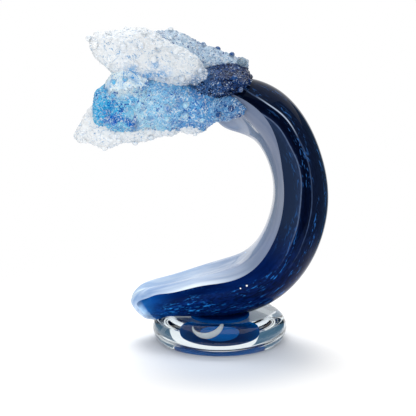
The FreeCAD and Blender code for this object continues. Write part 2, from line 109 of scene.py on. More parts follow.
world = bpy.data.worlds.new("white_surround")
scene.world = world
world.use_nodes = True
tree = world.node_tree
tree.nodes.clear()
rays = add_node(tree, "ShaderNodeLightPath")
seen = add_node(tree, "ShaderNodeMath", {
    0: rays.outputs["Is Camera Ray"], 1: rays.outputs["Is Glossy Ray"]}, operation="ADD")
seen = add_node(tree, "ShaderNodeMath", {
    0: seen.outputs[0], 1: rays.outputs["Is Transmission Ray"]}, operation="ADD", use_clamp=True)
level = add_node(tree, "ShaderNodeMapRange", {
    "Value": seen.outputs[0], "To Min": AMBIENT, "To Max": 1.0})
sky = add_node(tree, "ShaderNodeBackground", {"Color": WHITE, "Strength": level.outputs["Result"]})
add_node(tree, "ShaderNodeOutputWorld", {"Surface": sky.outputs[0]})

floor_mesh = bpy.data.meshes.new("floor")
shape = bmesh.new()
bmesh.ops.create_circle(shape, cap_ends=True, segments=FLOOR_SEGMENTS, radius=FLOOR_RADIUS)
shape.to_mesh(floor_mesh)
shape.free()
floor = bpy.data.objects.new("floor", floor_mesh)
floor.location = (0.0, 0.0, -FLOOR_DROP)
scene.collection.objects.link(floor)
paper, tree = new_material("pale_floor")
where = add_node(tree, "ShaderNodeTexCoord")
# Painted shadow: the floor's colour turns from SHADOW_COLOUR in an oval under the foot to FLOOR_COLOUR
# outside it.
where = add_node(tree, "ShaderNodeMapping", {
    "Vector": where.outputs["Object"], "Location": SHADOW_PLACE, "Scale": SHADOW_SIZE}, vector_type="TEXTURE")
reach = add_node(tree, "ShaderNodeVectorMath", {0: where.outputs[0]}, operation="LENGTH").outputs["Value"]
paler = add_node(tree, "ShaderNodeMapRange", {
    "Value": reach, "From Min": SHADOW_FADE[0], "From Max": SHADOW_FADE[1]}, interpolation_type="SMOOTHSTEP")
painted_shading = add_node(tree, "ShaderNodeMix", {
    0: paler.outputs["Result"], 6: SHADOW_COLOUR, 7: FLOOR_COLOUR}, data_type="RGBA")
fade = add_node(tree, "ShaderNodeMapRange", {
    "Value": reach, "From Min": FLOOR_FADE[0], "From Max": FLOOR_FADE[1]}, interpolation_type="SMOOTHSTEP")
matt = add_node(tree, "ShaderNodeBsdfDiffuse", {"Color": painted_shading.outputs[2]})
gone = add_node(tree, "ShaderNodeBsdfTransparent")
surface(tree, add_node(tree, "ShaderNodeMixShader", {
    0: fade.outputs["Result"], 1: matt.outputs[0], 2: gone.outputs[0]}))
floor_mesh.materials.append(paper)


def add_softbox(name, place, wide, high, power):
    """Hang a rectangular soft lamp that faces the sculpture and isn't mirrored in it."""
    lamp = bpy.data.lights.new(name, "AREA")
    lamp.shape = "RECTANGLE"
    lamp.size = wide
    lamp.size_y = high
    lamp.energy = power
    item = bpy.data.objects.new(name, lamp)
    item.location = place
    item.rotation_euler = (Vector(LAMP_TARGET) - Vector(place)).to_track_quat("-Z", "Y").to_euler()
    item.visible_glossy = False
    item.visible_transmission = False
    scene.collection.objects.link(item)


def add_card(name, place, target, wide, high, colour, through=True):
    """Stand a plain card that faces a target, for glass to mirror and, if asked, to show behind it."""
    mesh = bpy.data.meshes.new(name)
    corners = [(x * wide / 2, y * high / 2, 0) for x, y in ((-1, -1), (1, -1), (1, 1), (-1, 1))]
    mesh.from_pydata(corners, [], [(0, 1, 2, 3)])
    item = bpy.data.objects.new(name, mesh)
    item.location = place
    item.rotation_euler = (Vector(target) - Vector(place)).to_track_quat("Z", "Y").to_euler()
    item.visible_camera = False
    item.visible_diffuse = False
    item.visible_shadow = False
    item.visible_transmission = through
    item.visible_volume_scatter = False
    scene.collection.objects.link(item)
    felt, tree = new_material(name + "_felt")
    surface(tree, add_node(tree, "ShaderNodeEmission", {"Color": (*colour, 1.0)}))
    mesh.materials.append(felt)


add_softbox("top_softbox", (-0.1, 0.6, 1.1), 0.8, 0.6, 9.0)
add_softbox("front_softbox", (-0.3, -1.7, 0.35), 1.2, 0.8, 11.0)
add_card("front_card", (0.0, -2.4, 0.9), (0.0, 0.0, 0.15), 6.0, 4.5, (0.10, 0.14, 0.22), through=False)
add_card("right_card", (1.3, -0.3, 0.3), (0.05, 0.0, 0.15), 1.5, 2.4, (0.10, 0.17, 0.26))
add_card("back_left_card", (-0.8, 0.89, 0.0), (0.0, 0.0, 0.0), 0.9, 1.3, (0.07, 0.15, 0.23))
add_card("back_right_card", (0.98, 0.69, 0.0), (0.0, 0.0, 0.0), 1.02, 1.3, (0.07, 0.14, 0.21))
add_card("left_card", (-1.3, -0.3, 0.3), (0.05, 0.0, 0.15), 1.5, 2.4, (0.16, 0.25, 0.34))

# Foot
# A thick puck of clear glass, gathered and pressed round, its base ground flat and polished.
# The ribbon was set on it hot, so the puck's top reaches a little way into the ribbon's underside.
FOOT_RADIUS = 0.059
FOOT_HEIGHT = 0.0256
FOOT_EDGE_RADIUS = 0.0143
FOOT_BEVEL = 0.001
FOOT_SEGMENTS = 160
FOOT_EDGE_STEPS = 24
FOOT_SHARP = math.radians(30)
CLEAR_COLOUR = (0.85, 0.925, 0.96, 1.0)


def smooth_piece(name, shape, sharp_angle=math.radians(40)):
    """Turn a bmesh into a smooth-shaded object with sharp edges kept."""
    bmesh.ops.recalc_face_normals(shape, faces=shape.faces)
    for face in shape.faces:
        face.smooth = True
    for edge in shape.edges:
        edge.smooth = not edge.is_manifold or edge.calc_face_angle() < sharp_angle
    mesh = bpy.data.meshes.new(name)
    shape.to_mesh(mesh)
    shape.free()
    piece = bpy.data.objects.new(name, mesh)
    scene.collection.objects.link(piece)
    return piece


def skin_rings(shape, rings):
    """Join rings of vertices into one closed skin, from the first ring to the last."""
    for first, second in zip(rings, rings[1:]):
        for i in range(len(first)):
            j = (i + 1) % len(first)
            shape.faces.new((first[i], first[j], second[j], second[i]))
    shape.faces.new(reversed(rings[0]))
    shape.faces.new(rings[-1])


def finish_piece(piece, material, slot, *nodes):
    """Give a piece its glass and let it stand for its solids, where it has any."""
    piece.data.materials.clear()
    piece.data.materials.append(material)
    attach(piece, "root")
    if nodes:
        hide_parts(*nodes)


edge_x = FOOT_RADIUS - FOOT_EDGE_RADIUS
edge_z = FOOT_HEIGHT - FOOT_EDGE_RADIUS
low_angle = -math.asin((edge_z - FOOT_BEVEL) / FOOT_EDGE_RADIUS)
low_x = edge_x + FOOT_EDGE_RADIUS * math.cos(low_angle)
profile = [(low_x - FOOT_BEVEL, 0.0), (low_x, FOOT_BEVEL)]
for i in range(1, FOOT_EDGE_STEPS + 1):
    angle = low_angle + (math.pi / 2 - low_angle) * i / FOOT_EDGE_STEPS
    x = edge_x + FOOT_EDGE_RADIUS * math.cos(angle)
    z = edge_z + FOOT_EDGE_RADIUS * math.sin(angle)
    profile.append((x, z))
shape = bmesh.new()
turn = [2 * math.pi * i / FOOT_SEGMENTS for i in range(FOOT_SEGMENTS)]
rings = [[shape.verts.new((radius * math.cos(a), radius * math.sin(a), z)) for a in turn]
         for radius, z in profile]
skin_rings(shape, rings)
foot = smooth_piece("foot", shape, FOOT_SHARP)

clear, tree = new_material("clear_glass")
surface(tree, add_node(tree, "ShaderNodeBsdfPrincipled", {
    "Base Color": CLEAR_COLOUR, "Roughness": 0.0, "IOR": 1.5, "Transmission Weight": 1.0,
    "Specular IOR Level": 0.3}))
finish_piece(foot, clear, "clear_glass", "clear_foot")

# Crease in the foot
# A curved pocket of air that was trapped under the tongue when the hot glass closed over it.
# The light its skin throws back is painted: the pocket is a solid white piece, a painted reflection that
# shows through the foot as a white crescent. It is thicker towards the right, tapers round at both ends and
# is flatter from front to back.
CREASE_PLACE = (-0.0106, -0.040, 0.0202)
CREASE_WIDE = 0.0245
CREASE_HIGH = 0.0155
CREASE_RADIUS = 0.0023
CREASE_START = math.radians(175)
CREASE_END = math.radians(375)
CREASE_STEPS = 40
CREASE_SIDES = 24
CREASE_THIN_END = 0.4
CREASE_SWELL = 0.7
CREASE_TAPER = 0.4
CREASE_DEPTH = 0.6
CREASE_SHARP = math.radians(80)
CREASE_ROUGHNESS = 0.2

shape = bmesh.new()
turn = [2 * math.pi * i / CREASE_SIDES for i in range(CREASE_SIDES)]
deep = Vector((0.0, CREASE_DEPTH, 0.0))
rings = []
for i in range(1, CREASE_STEPS):
    t = i / CREASE_STEPS
    bend = CREASE_START + (CREASE_END - CREASE_START) * t
    radius = CREASE_RADIUS * (CREASE_THIN_END + CREASE_SWELL * t) * math.sin(math.pi * t) ** CREASE_TAPER
    out = Vector((math.cos(bend), 0.0, math.sin(bend)))
    middle = Vector(CREASE_PLACE) + Vector((CREASE_WIDE / 2 * out.x, 0.0, CREASE_HIGH / 2 * out.z))
    rings.append([shape.verts.new(middle + radius * (math.cos(a) * out + math.sin(a) * deep)) for a in turn])
skin_rings(shape, rings)
crease = smooth_piece("foot_crease", shape, CREASE_SHARP)
# Painted reflection: a plain white skin stands for the light the air pocket throws back.
reflection_paint, tree = new_material("painted_white_reflection")
surface(tree, add_node(tree, "ShaderNodeBsdfPrincipled", {
    "Base Color": WHITE, "Roughness": CREASE_ROUGHNESS}))
finish_piece(crease, reflection_paint, "clear_glass")

# Ribbon
# Solid cobalt glass, drawn out hot and bent back on itself, with lighter blue threads pulled along it.
# Distances along the ribbon run from the tongue's tip; these points follow its middle line in metres.
MIDDLE_LINE = [(-0.0753, 0.0315), (-0.0726, 0.0352), (-0.0673, 0.0397), (-0.0589, 0.0427),
               (-0.0449, 0.0460), (-0.0173, 0.0537), (0.0083, 0.0590), (0.0299, 0.0684),
               (0.0447, 0.0867), (0.0539, 0.1114), (0.0566, 0.1394), (0.0529, 0.1608),
               (0.0411, 0.1837), (0.0261, 0.1961), (0.0110, 0.2048), (-0.0047, 0.2162)]
LINE_STEPS = 12
RIBBON_LENGTH = 0.3
INNER_FACE = -0.015
OUTER_FACE = 0.04
BAND_WANDER = 0.006
COBALT_GLOSS = (0.45, 0.68, 1.0, 1.0)
VERTICES_AT_ONCE = 4000
WELD_GAP = 1e-6


def merged_copy(name, *nodes):
    """Copy the solids of some nodes into one smooth-shaded object whose loose triangles are joined."""
    shape = bmesh.new()
    for node in nodes:
        shape.from_mesh(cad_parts[node].data)
    bmesh.ops.remove_doubles(shape, verts=shape.verts, dist=WELD_GAP)
    return smooth_piece(name, shape)


def note_flow(piece):
    """Store on each vertex its distance along the ribbon, across it and out from its middle line."""
    line = np.array(MIDDLE_LINE)
    fine = []
    for i in range(len(line) - 1):
        # A smooth curve through four neighbouring points, cut into short straight runs.
        p0, p1, p2, p3 = (line[min(max(i + k, 0), len(line) - 1)] for k in (-1, 0, 1, 2))
        for t in np.linspace(0, 1, LINE_STEPS, endpoint=False):
            fine.append(0.5 * (2 * p1 + (p2 - p0) * t + (2 * p0 - 5 * p1 + 4 * p2 - p3) * t ** 2
                               + (3 * p1 - p0 - 3 * p2 + p3) * t ** 3))
    fine = np.array(fine + [line[-1]])
    # A straight run is added at each end, for points that lie past the line.
    before = fine[0] + (fine[0] - fine[1]) * LINE_STEPS
    after = fine[-1] + (fine[-1] - fine[-2]) * LINE_STEPS
    fine = np.vstack([before, fine, after])
    run = np.diff(fine, axis=0)
    length = np.linalg.norm(run, axis=1)
    start = np.concatenate([[0.0], np.cumsum(length)[:-1]]) - length[0]
    count = len(piece.data.vertices)
    points = np.empty(count * 3, np.float32)
    piece.data.vertices.foreach_get("co", points)
    points = points.reshape(-1, 3)
    flow = np.empty((count, 3), np.float32)
    for first in range(0, count, VERTICES_AT_ONCE):
        last = first + VERTICES_AT_ONCE
        some = points[first:last]
        flat = some[:, (0, 2)][:, None, :] - fine[None, :-1, :]
        share = np.clip((flat * run).sum(2) / length ** 2, 0, 1)
        away = flat - share[..., None] * run
        gap = np.linalg.norm(away, axis=2)
        best = gap.argmin(1)
        rows = np.arange(len(some))
        side = np.sign(run[best, 1] * away[rows, best, 0] - run[best, 0] * away[rows, best, 1])
        flow[first:last, 0] = start[best] + share[rows, best] * length[best]
        flow[first:last, 1] = some[:, 1]
        flow[first:last, 2] = side * gap[rows, best]
    piece.data.attributes.new("flow", "FLOAT_VECTOR", "POINT").data.foreach_set("vector", flow.ravel())


def flow_parts(tree):
    """Return the place along the ribbon as 0 to 1, and the distances across it and out in metres."""
    flow = add_node(tree, "ShaderNodeAttribute", attribute_name="flow", attribute_type="GEOMETRY")
    split = add_node(tree, "ShaderNodeSeparateXYZ", {0: flow.outputs["Vector"]})
    place = add_node(tree, "ShaderNodeMapRange", {"Value": split.outputs[0], "From Max": RIBBON_LENGTH})
    return place.outputs["Result"], split.outputs[1], split.outputs[2]


def flow_noise(tree, along, across, detail=3.0, offset=(0.0, 0.0, 0.0), distort=0.0):
    """Return a noise drawn out along the ribbon, with its features' length and breadth in metres."""
    flow = add_node(tree, "ShaderNodeAttribute", attribute_name="flow", attribute_type="GEOMETRY")
    spread = add_node(tree, "ShaderNodeMapping", {
        "Vector": flow.outputs["Vector"], "Location": offset, "Scale": (1 / along, 1 / across, 1 / across)})
    return add_node(tree, "ShaderNodeTexNoise", {
        "Vector": spread.outputs[0], "Scale": 1.0, "Detail": detail, "Distortion": distort}).outputs[0]


def ramp(tree, value, *stops):
    """Return the colour at a value on a ramp of (position, colour) stops; one number stands for a grey."""
    item = add_node(tree, "ShaderNodeValToRGB", {0: value})
    while len(item.color_ramp.elements) < len(stops):
        item.color_ramp.elements.new(0.5)
    for element, (position, colour) in zip(item.color_ramp.elements, stops):
        red, green, blue = (colour,) * 3 if isinstance(colour, float) else colour[:3]
        element.position = position
        element.color = (red, green, blue, 1.0)
    return item.outputs[0]


def blend(tree, factor, first, second, way="MIX"):
    """Return two colours mixed by a factor."""
    return add_node(tree, "ShaderNodeMix", {0: factor, 6: first, 7: second},
                    data_type="RGBA", blend_type=way).outputs[2]


def srgb(red, green, blue):
    """Return a colour given as 0 to 255 display values as the linear values that sockets hold."""
    parts = [c / 255 for c in (red, green, blue)]
    return tuple(c / 12.92 if c <= 0.04045 else ((c + 0.055) / 1.055) ** 2.4 for c in parts) + (1.0,)


core = merged_copy("ribbon_core", "wave_core")
note_flow(core)
cobalt, tree = new_material("cobalt_glass")
place, _, out = flow_parts(tree)

# Lying part: pale at the tongue's tip, then deep blue with darker and lighter clouds.
deep = ramp(tree, place, (0.0, srgb(160, 186, 216)), (0.018, srgb(128, 162, 202)),
            (0.034, srgb(16, 80, 146)), (0.07, srgb(4, 52, 116)), (0.14, srgb(2, 29, 84)),
            (0.4, srgb(3, 20, 66)), (0.6, srgb(4, 16, 48)), (1.0, srgb(8, 18, 40)))
cloud = flow_noise(tree, 0.05, 0.012, detail=2.0, offset=(3.0, 0.0, 0.0))
cloud = ramp(tree, cloud, (0.35, (0.55, 0.55, 0.6)), (0.65, (1.5, 1.5, 1.4)))
deep = blend(tree, 1.0, deep, cloud, "MULTIPLY")

# Upright part: painted reflections in bands along the ribbon, a grey-blue sheen near the inner edge, the
# darkest band in the middle, and two thin pale lines of painted highlight between them.
wander = flow_noise(tree, 0.06, 0.02, detail=2.0, offset=(1.0, 5.0, 0.0))
outward = add_node(tree, "ShaderNodeMath", {
    0: wander, 1: BAND_WANDER, 2: out}, operation="MULTIPLY_ADD")
outward = add_node(tree, "ShaderNodeMapRange", {
    "Value": outward.outputs[0], "From Min": INNER_FACE, "From Max": OUTER_FACE}).outputs["Result"]
reflection_bands = ramp(tree, outward, (0.0, srgb(22, 34, 60)), (0.45, srgb(30, 42, 64)), (0.535, srgb(36, 50, 78)),
             (0.55, srgb(86, 102, 132)), (0.565, srgb(6, 14, 38)), (0.62, srgb(2, 5, 20)),
             (0.715, srgb(3, 8, 28)), (0.73, srgb(60, 76, 106)), (0.745, srgb(12, 20, 40)),
             (0.9, srgb(14, 22, 42)), (1.0, srgb(24, 36, 60)))
upright = ramp(tree, place, (0.42, 0.0), (0.55, 0.9))
deep = blend(tree, upright, deep, reflection_bands)

# Lighter blue threads in ragged patches, and a fine mottle between them.
thread = ramp(tree, flow_noise(tree, 0.0065, 0.0014, detail=3.0, distort=0.9), (0.57, 0.0), (0.66, 1.0))
patch = flow_noise(tree, 0.04, 0.010, detail=1.0, offset=(7.0, 2.0, 0.0))
patch = ramp(tree, patch, (0.47, 0.0), (0.60, 1.0))
thread = blend(tree, 1.0, thread, patch, "MULTIPLY")
below = ramp(tree, outward, (0.42, 0.12), (0.56, 1.0))
thread = blend(tree, 1.0, thread, below, "MULTIPLY")
mottle = flow_noise(tree, 0.004, 0.0014, detail=3.0, offset=(9.0, 1.0, 4.0))
mottle = ramp(tree, mottle, (0.4, 0.55), (0.5, 1.0), (0.62, (1.3, 1.55, 1.6)))
strength = ramp(tree, place, (0.03, 0.0), (0.1, 0.9), (0.45, 0.8), (0.6, 0.35))
strength = blend(tree, 1.0, strength, below, "MULTIPLY")
deep = blend(tree, strength, deep, mottle, "MULTIPLY")

# A painted highlight: a bright line on the outer edge near the crest.
glint = ramp(tree, outward, (0.722, 0.0), (0.732, 1.0), (0.745, 0.0))
upper = ramp(tree, place, (0.76, 0.0), (0.80, 0.9), (0.85, 0.9), (0.89, 0.0))
deep = blend(tree, blend(tree, 1.0, glint, upper, "MULTIPLY"), deep, srgb(196, 212, 234))

bright = ramp(tree, place, (0.0, srgb(44, 136, 216)), (0.3, srgb(30, 116, 206)), (0.7, srgb(46, 96, 160)))
colour = blend(tree, thread, deep, bright)
surface(tree, add_node(tree, "ShaderNodeBsdfPrincipled", {
    "Base Color": colour, "Roughness": 0.03, "IOR": 1.3, "Specular IOR Level": 0.2,
    "Specular Tint": COBALT_GLOSS}))
finish_piece(core, cobalt, "cobalt_glass", "wave_core")

# Bubbles in the bend
# Two small bubbles of air, trapped just under the near side of the ribbon where it turns up, built as solid
# white beads that stand for their glints: painted highlights.
# Each is set on the ribbon's skin by its x and z, with its radius, in metres.
BEND_BUBBLES = ((0.0215, 0.0575, 0.0009), (0.0170, 0.0538, 0.0007))

shape = bmesh.new()
for x, z, radius in BEND_BUBBLES:
    near = core.closest_point_on_mesh((x, -FOOT_RADIUS, z))[1]
    bmesh.ops.create_icosphere(shape, subdivisions=2, radius=radius, matrix=Matrix.Translation(near))
finish_piece(smooth_piece("bend_bubbles", shape), reflection_paint, "clear_glass")

# Root
# A lump of the same cobalt glass under the ribbon, which the clear foot was gathered over.
# Its underside is pressed up to ROOT_FLOOR, so that clear glass shows between it and the ground base.
ROOT_FLOOR = 0.0050
ROOT_PRESS = 0.3
ROOT_TOP = 0.026
ROOT_SHARP = math.radians(20)

root = merged_copy("ribbon_root", "cobalt_root")
for vertex in root.data.vertices:
    vertex.co.z = max(vertex.co.z, ROOT_FLOOR + ROOT_PRESS * (vertex.co.z - ROOT_FLOOR))
root.data.set_sharp_from_angle(angle=ROOT_SHARP)
blue, tree = new_material("root_glass")
place = add_node(tree, "ShaderNodeTexCoord").outputs["Object"]
height = add_node(tree, "ShaderNodeSeparateXYZ", {0: place}).outputs[2]
height = add_node(tree, "ShaderNodeMapRange", {"Value": height, "From Max": ROOT_TOP}).outputs["Result"]
# Painted light and shade: the lump is painted a brighter blue low down and darker towards the top, where it
# runs under the ribbon.
painted_shading = ramp(tree, height, (0.27, srgb(0, 128, 226)), (0.33, srgb(0, 92, 182)),
            (0.5, srgb(0, 92, 182)), (0.8, srgb(2, 24, 72)))
surface(tree, add_node(tree, "ShaderNodeBsdfPrincipled", {
    "Base Color": painted_shading, "Roughness": 0.6, "Specular IOR Level": 0.0}))
finish_piece(root, blue, "cobalt_glass", "cobalt_root")

# Lining
# Milky pale glass cased over the ribbon's inner face, folded round the tongue's tip, with drawn-out streaks.
LINING_HALF_WIDTH = 0.027

lining = merged_copy("ribbon_lining", "opal_lining")
note_flow(lining)
opal, tree = new_material("opal_glass")
place, across, _ = flow_parts(tree)
across = add_node(tree, "ShaderNodeMapRange", {
    "Value": across, "From Min": -LINING_HALF_WIDTH, "From Max": LINING_HALF_WIDTH}).outputs["Result"]
# The milk is painted paler on the lying tongue and greyer up the upright part: painted shade.
milk_and_shade = ramp(tree, place, (0.0, srgb(170, 192, 218)), (0.2, srgb(184, 197, 215)),
            (0.30, srgb(142, 156, 180)), (0.38, srgb(116, 130, 154)), (0.46, srgb(118, 130, 156)),
            (0.6, srgb(128, 136, 152)), (0.78, srgb(112, 122, 144)), (1.0, srgb(98, 114, 142)))
streak = flow_noise(tree, 0.09, 0.006, detail=3.0, distort=0.3)
streak = ramp(tree, streak, (0.34, (0.66, 0.75, 0.88)), (0.5, 1.0), (0.64, (1.28, 1.25, 1.18)))
drawn = ramp(tree, place, (0.28, 1.0), (0.42, 0.35))
milk_and_shade = blend(tree, drawn, milk_and_shade, streak, "MULTIPLY")

# The lying part has painted light and shade across its folds, highlights at its rims and shade in the valley
# near the near rim, and the upright part is painted lighter towards its far edge.
fold_shading = ramp(tree, across, (0.0, (1.35, 1.32, 1.25)), (0.05, (1.2, 1.18, 1.14)), (0.13, (0.74, 0.80, 0.90)),
            (0.3, (0.92, 0.95, 0.99)), (0.42, (1.2, 1.18, 1.13)), (0.55, (1.12, 1.1, 1.06)),
            (0.86, (0.98, 1.0, 1.0)), (0.95, (1.12, 1.12, 1.1)))
lying = ramp(tree, place, (0.26, 1.0), (0.40, 0.0))
milk_and_shade = blend(tree, lying, milk_and_shade, fold_shading, "MULTIPLY")
bank_light = ramp(tree, across, (0.08, (0.9, 0.9, 0.92)), (0.22, (1.12, 1.1, 1.07)), (0.5, (1.5, 1.46, 1.36)))
risen = ramp(tree, place, (0.28, 0.0), (0.42, 1.0))
milk_and_shade = blend(tree, risen, milk_and_shade, bank_light, "MULTIPLY")
surface(tree, add_node(tree, "ShaderNodeBsdfPrincipled", {
    "Base Color": milk_and_shade, "Roughness": 0.08, "IOR": 1.5}))
finish_piece(lining, opal, "opal_glass", "opal_lining")

# Foam
# Crushed clear and blue glass, melted together hot and full of bubbles, drawn into ragged lobes.
# Each lobe gets a crust of beads, fused with it into one closed skin.
BEAD_SPACING = 0.0021
BEAD_SMALLEST = 0.0009
BEAD_LARGEST = 0.0025
BEAD_SINK = 0.0010
BEAD_DENSITY = 600000.0
BEAD_COVER = 0.0018
BEAD_PROUD = 0.5
BEAD_SQUASH = (0.75, 1.2)
FULL_TURN = 6.283
HOLLOW_DEPTH = 0.0022
HOLLOW_SCALE = 130.0
HOLLOW_LEVELS = (0.42, 0.68)
WELD_REACH = 0.006
WELD_SWELL = 0.0015
SKIN_VOXEL = 0.00075
PALE_GRAIN_SCALE = 340.0
DARK_GRAIN_SCALE = 270.0
DRIFT_SCALE = 60.0
DRIFT_REACH = 0.045
DENT_SCALE = 520.0
LOBES = ("crest_root", "front_lobe", "blue_mass", "aqua_heart", "pale_spur", "back_crest", "clear_crest",
         "clear_skirt", "under_clump")

crust = bpy.data.node_groups.new("foam_crust", "GeometryNodeTree")
for name, kind in (("Lobe", "Geometry"), ("Spacing", "Float"), ("Smallest", "Float"), ("Largest", "Float"),
                   ("Sink", "Float"), ("Hollow", "Float"), ("Seed", "Int"), ("Glass", "Material"),
                   ("Neighbours", "Object"), ("Weld Reach", "Float"), ("Weld Swell", "Float")):
    crust.interface.new_socket(name, in_out="INPUT", socket_type="NodeSocket" + kind)
crust.interface.new_socket("Crust", in_out="OUTPUT", socket_type="NodeSocketGeometry")
given = add_node(crust, "NodeGroupInput").outputs

# The lobe's skin sinks by the beads' own height, has hollows, and swells where it meets its neighbours.
lumps = add_node(crust, "ShaderNodeTexNoise", {"Scale": HOLLOW_SCALE, "Detail": 2.0}).outputs[0]
dip = add_node(crust, "ShaderNodeMapRange", {
    "Value": lumps, "From Min": HOLLOW_LEVELS[0], "From Max": HOLLOW_LEVELS[1],
    "To Max": given["Hollow"]}).outputs["Result"]
dip = add_node(crust, "ShaderNodeMath", {0: dip, 1: given["Sink"]}, operation="ADD").outputs[0]
beside = add_node(crust, "GeometryNodeObjectInfo", {"Object": given["Neighbours"]}).outputs["Geometry"]
beside = add_node(crust, "GeometryNodeProximity", {0: beside}, target_element="FACES").outputs["Distance"]
swell = add_node(crust, "ShaderNodeMath", {0: dip, 1: given["Weld Swell"]}, operation="ADD").outputs[0]
swell = add_node(crust, "ShaderNodeMapRange", {
    "Value": beside, "From Max": given["Weld Reach"], "To Min": swell, "To Max": 0.0}).outputs["Result"]
dip = add_node(crust, "ShaderNodeMath", {0: swell, 1: dip}, operation="SUBTRACT").outputs[0]
normal = add_node(crust, "GeometryNodeInputNormal").outputs[0]
inward = add_node(crust, "ShaderNodeVectorMath", {0: normal, "Scale": dip}, operation="SCALE").outputs[0]
lobe = add_node(crust, "GeometryNodeSetPosition", {"Geometry": given["Lobe"], "Offset": inward}).outputs[0]

# Beads stand on the skin, small ones more often than large, each squashed and turned at random.
spots = add_node(crust, "GeometryNodeDistributePointsOnFaces", {
    "Mesh": lobe, "Distance Min": given["Spacing"], "Density Max": BEAD_DENSITY, "Seed": given["Seed"]},
    distribute_method="POISSON")
chance = add_node(crust, "FunctionNodeRandomValue", {"Seed": given["Seed"]}, data_type="FLOAT").outputs[1]
chance = add_node(crust, "ShaderNodeMath", {0: chance, 1: 2.0}, operation="POWER").outputs[0]
radius = add_node(crust, "ShaderNodeMapRange", {
    "Value": chance, "To Min": given["Smallest"], "To Max": given["Largest"]}).outputs["Result"]
proud = add_node(crust, "ShaderNodeMath", {0: radius, 1: BEAD_PROUD}, operation="MULTIPLY").outputs[0]
cover = add_node(crust, "ShaderNodeMath", {0: BEAD_COVER, 1: radius}, operation="SUBTRACT").outputs[0]
proud = add_node(crust, "ShaderNodeMath", {0: proud, 1: cover}, operation="MINIMUM").outputs[0]
raised = add_node(crust, "ShaderNodeVectorMath", {
    0: spots.outputs["Normal"], "Scale": proud}, operation="SCALE").outputs[0]
centres = add_node(crust, "GeometryNodeSetPosition", {
    "Geometry": spots.outputs[0], "Offset": raised}).outputs[0]
ball = add_node(crust, "GeometryNodeMeshIcoSphere", {"Radius": 1.0, "Subdivisions": 2}).outputs[0]
squash = add_node(crust, "FunctionNodeRandomValue", {
    0: (BEAD_SQUASH[0],) * 3, 1: (BEAD_SQUASH[1],) * 3}, data_type="FLOAT_VECTOR").outputs[0]
stretch = add_node(crust, "ShaderNodeVectorMath", {0: squash, "Scale": radius}, operation="SCALE").outputs[0]
twist = add_node(crust, "FunctionNodeRandomValue", {
    0: (0.0,) * 3, 1: (FULL_TURN,) * 3}, data_type="FLOAT_VECTOR").outputs[0]
beads = add_node(crust, "GeometryNodeInstanceOnPoints", {
    "Points": centres, "Instance": ball, "Rotation": twist, "Scale": stretch}).outputs[0]
beads = add_node(crust, "GeometryNodeRealizeInstances", {0: beads}).outputs[0]
both = add_node(crust, "GeometryNodeJoinGeometry")
crust.links.new(lobe, both.inputs[0])
crust.links.new(beads, both.inputs[0])
glassy = add_node(crust, "GeometryNodeSetMaterial", {
    "Geometry": both.outputs[0], "Material": given["Glass"]}).outputs[0]
add_node(crust, "NodeGroupOutput", {0: glassy})


def foam_lobe(name, node, glass, slot, seed):
    """Grow beads on one lobe and fuse them with it into one plain mesh."""
    base = merged_copy(name + "_base", node)
    beside = merged_copy(name + "_beside", *(lobe for lobe in LOBES if lobe != node))
    even = base.modifiers.new("even", "REMESH")
    even.mode = "VOXEL"
    even.voxel_size = 2 * SKIN_VOXEL
    modifier = base.modifiers.new("crust", "NODES")
    modifier.node_group = crust
    sockets = {s.name: s.identifier for s in crust.interface.items_tree if s.in_out == "INPUT"}
    for socket, value in (("Spacing", BEAD_SPACING), ("Smallest", BEAD_SMALLEST), ("Largest", BEAD_LARGEST),
                          ("Sink", BEAD_SINK), ("Hollow", HOLLOW_DEPTH), ("Neighbours", beside),
                          ("Weld Reach", WELD_REACH), ("Weld Swell", WELD_SWELL), ("Seed", seed),
                          ("Glass", glass)):
        modifier[sockets[socket]] = value
    fuse = base.modifiers.new("fuse", "REMESH")
    fuse.mode = "VOXEL"
    fuse.voxel_size = SKIN_VOXEL
    fuse.use_smooth_shade = True
    melt = base.modifiers.new("melt", "SMOOTH")
    melt.factor = 0.5
    melt.iterations = 1
    ready = base.evaluated_get(bpy.context.evaluated_depsgraph_get())
    mesh = bpy.data.meshes.new_from_object(ready)
    mesh.name = name
    piece = bpy.data.objects.new(name, mesh)
    scene.collection.objects.link(piece)
    bpy.data.objects.remove(base)
    bpy.data.objects.remove(beside)
    finish_piece(piece, glass, slot, node)


def soft_patch(tree, where, centre, reach, stretch=(1.0, 1.0, 1.0)):
    """Return how near a point lies to a patch's centre, from 1 there to 0 at its ragged rim."""
    size = tuple(reach * share for share in stretch)
    local = add_node(tree, "ShaderNodeMapping", {
        "Vector": where, "Location": centre, "Scale": size}, vector_type="TEXTURE").outputs[0]
    away = add_node(tree, "ShaderNodeVectorMath", {0: local}, operation="LENGTH").outputs["Value"]
    return add_node(tree, "ShaderNodeMapRange", {
        "Value": away, "From Min": 1.0, "From Max": 0.25}, interpolation_type="SMOOTHSTEP").outputs["Result"]


def grains(tree, where, scale, level, soft, most):
    """Return a mask of fine curled grains, from 0 outside them to the given most inside."""
    swirl = add_node(tree, "ShaderNodeTexNoise", {
        "Vector": where, "Scale": scale, "Detail": 3.0, "Distortion": 1.6}).outputs[0]
    return ramp(tree, swirl, (level, 0.0), (level + soft, most))


